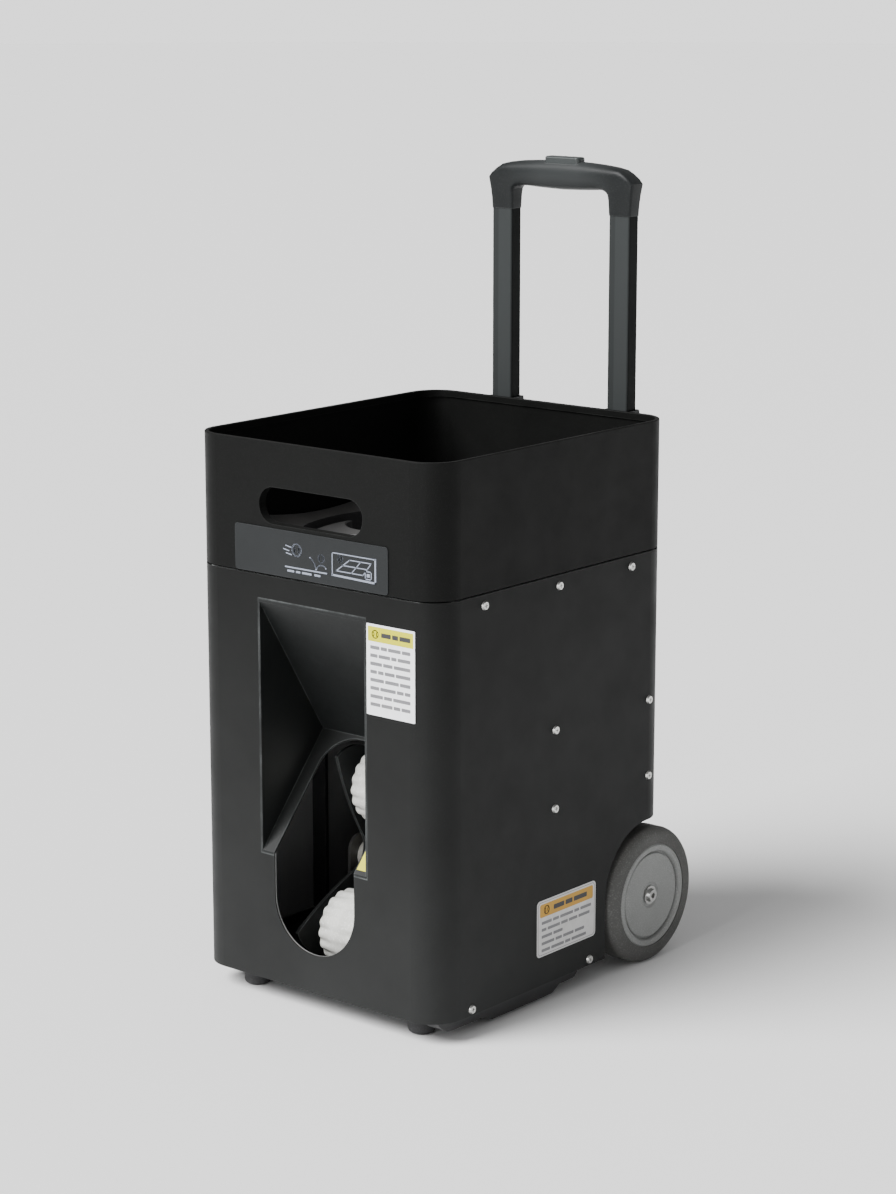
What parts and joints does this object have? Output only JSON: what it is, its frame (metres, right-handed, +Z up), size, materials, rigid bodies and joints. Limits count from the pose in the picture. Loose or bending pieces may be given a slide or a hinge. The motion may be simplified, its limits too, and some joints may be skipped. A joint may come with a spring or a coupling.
{
  "type": "tennis ball machine",
  "caption": "Portable tennis ball launcher with an open ball hopper, a folded ball exit, tilting launch wheels, transport wheels and a telescopic pull handle.",
  "frame": {"origin": "on the ground under the centre of the overall box", "axes": "+Z up, ball exit faces -Y, +X is the right side seen from the front"},
  "size_m": [0.29, 0.3656, 0.726],
  "materials": {
    "body_sheet": "fine-textured black powder coat",
    "hopper_plastic": "fine-textured black moulding",
    "funnel_plastic": "satin black moulding",
    "moulded_black": "satin",
    "plain_steel": "black coated",
    "zinc_steel": "zinc plated",
    "bright_steel": "machined",
    "foot_rubber": "matt",
    "sticker_yellow": "printed film",
    "plate_film": "printed film",
    "front_label_film": "printed film",
    "side_label_film": "printed film",
    "dish_plastic": "satin",
    "rotor_plastic": "satin",
    "motor_case": "satin",
    "chute_plastic": "satin",
    "battery_case": "satin",
    "circuit_board": "solder resist",
    "nylon": "natural nylon",
    "tube_paint": "satin black",
    "slide_tube": "satin dark anodised",
    "wheel_tyre": "matt",
    "wheel_plastic": "satin grey",
    "cheek_plate": "satin",
    "launch_rubber": "matt white polyurethane",
    "hub_alloy": "machined",
    "grip_plastic": "satin",
    "button_plastic": "satin",
    "rocker_plastic": "gloss"
  },
  "bodies": {
    "housing": {"main_shell": "body_sheet", "rear_panel": "body_sheet", "base_plate": "plain_steel", "belly_pan": "moulded_black", "skid_rails": "moulded_black", "front_feet": "foot_rubber", "foot_studs": "zinc_steel", "frame_posts": "plain_steel", "shell_screws": "zinc_steel", "wheel_wells": "moulded_black", "axle_brackets": "zinc_steel", "stub_axles": "bright_steel", "axle_hardware": "zinc_steel", "exit_funnel": "funnel_plastic", "exit_sticker": "sticker_yellow", "hopper_bin": "hopper_plastic", "display_plate": "plate_film", "front_label": "front_label_film", "side_label": "side_label_film", "feeder_deck": "plain_steel", "feeder_dish": "dish_plastic", "feed_gearmotor": "motor_case", "ball_chute": "chute_plastic", "tilt_bracket_right": "zinc_steel", "tilt_bracket_left": "zinc_steel", "tilt_gearmotor": "motor_case", "battery_pack": "battery_case", "battery_strap": "plain_steel", "control_board": "circuit_board", "board_standoffs": "nylon", "switch_bezel": "moulded_black", "charge_socket": "moulded_black", "outer_tubes": "tube_paint", "tube_collars": "moulded_black", "tube_plugs": "moulded_black", "handle_brackets": "moulded_black"},
    "wheel_left": {"tyre_left": "wheel_tyre", "wheel_hub_left": "wheel_plastic"},
    "wheel_right": {"tyre_right": "wheel_tyre", "wheel_hub_right": "wheel_plastic"},
    "feed_rotor": {"feed_rotor": "rotor_plastic", "feed_shaft": "bright_steel"},
    "launcher": {"launcher_cheeks": "cheek_plate", "tie_rods": "bright_steel", "ball_ramp": "chute_plastic", "trunnions": "bright_steel", "sector_gear": "nylon", "launch_bearings": "bright_steel", "launch_motors": "motor_case"},
    "upper_launch_wheel": {"upper_launch_tyre": "launch_rubber", "upper_launch_hub": "hub_alloy"},
    "lower_launch_wheel": {"lower_launch_tyre": "launch_rubber", "lower_launch_hub": "hub_alloy"},
    "tilt_pinion": {"tilt_pinion": "bright_steel"},
    "handle": {"inner_tubes": "slide_tube", "handle_grip": "grip_plastic", "latch_plungers": "nylon"},
    "handle_button": {"handle_button": "button_plastic", "latch_link": "zinc_steel"},
    "power_rocker": {"power_rocker": "rocker_plastic"}
  },
  "joints": [
    {"name": "handle_slide", "type": "slide", "parent": "housing", "child": "handle", "axis": [0, 0, 1], "range_m": [-0.17, 0.18]},
    {"name": "button_press", "type": "slide", "parent": "handle", "child": "handle_button", "axis": [0, 0, -1], "range_m": [0, 0.0035], "stiffness_N_per_m": 600, "springref_m": -0.002},
    {"name": "left_wheel_spin", "type": "hinge", "parent": "housing", "child": "wheel_left", "pos_m": [-0.129, 0.1193, 0.0635], "axis": [1, 0, 0], "continuous": true},
    {"name": "right_wheel_spin", "type": "hinge", "parent": "housing", "child": "wheel_right", "pos_m": [0.129, 0.1193, 0.0635], "axis": [1, 0, 0], "continuous": true},
    {"name": "rotor_spin", "type": "hinge", "parent": "housing", "child": "feed_rotor", "pos_m": [0, -0.0185, 0.38], "axis": [0, 0, 1], "continuous": true},
    {"name": "launcher_tilt", "type": "hinge", "parent": "housing", "child": "launcher", "pos_m": [0, -0.05327, 0.10627], "axis": [-1, 0, 0], "range_deg": [-10, 25]},
    {"name": "upper_wheel_spin", "type": "hinge", "parent": "launcher", "child": "upper_launch_wheel", "pos_m": [0, -0.07444, 0.18261], "axis": [1, 0, 0], "continuous": true},
    {"name": "lower_wheel_spin", "type": "hinge", "parent": "launcher", "child": "lower_launch_wheel", "pos_m": [0, -0.11856, 0.06139], "axis": [1, 0, 0], "continuous": true},
    {"name": "pinion_spin", "type": "hinge", "parent": "housing", "child": "tilt_pinion", "pos_m": [-0.05, 0.02873, 0.10627], "axis": [-1, 0, 0], "range_deg": [-150, 62]},
    {"name": "rocker_flip", "type": "hinge", "parent": "housing", "child": "power_rocker", "pos_m": [-0.03, 0.141, 0.3], "axis": [1, 0, 0], "range_deg": [-16, 0]}
  ],
  "couplings": [
    {"joint": "pinion_spin", "follows": "launcher_tilt", "ratio": -5.8333}
  ]
}
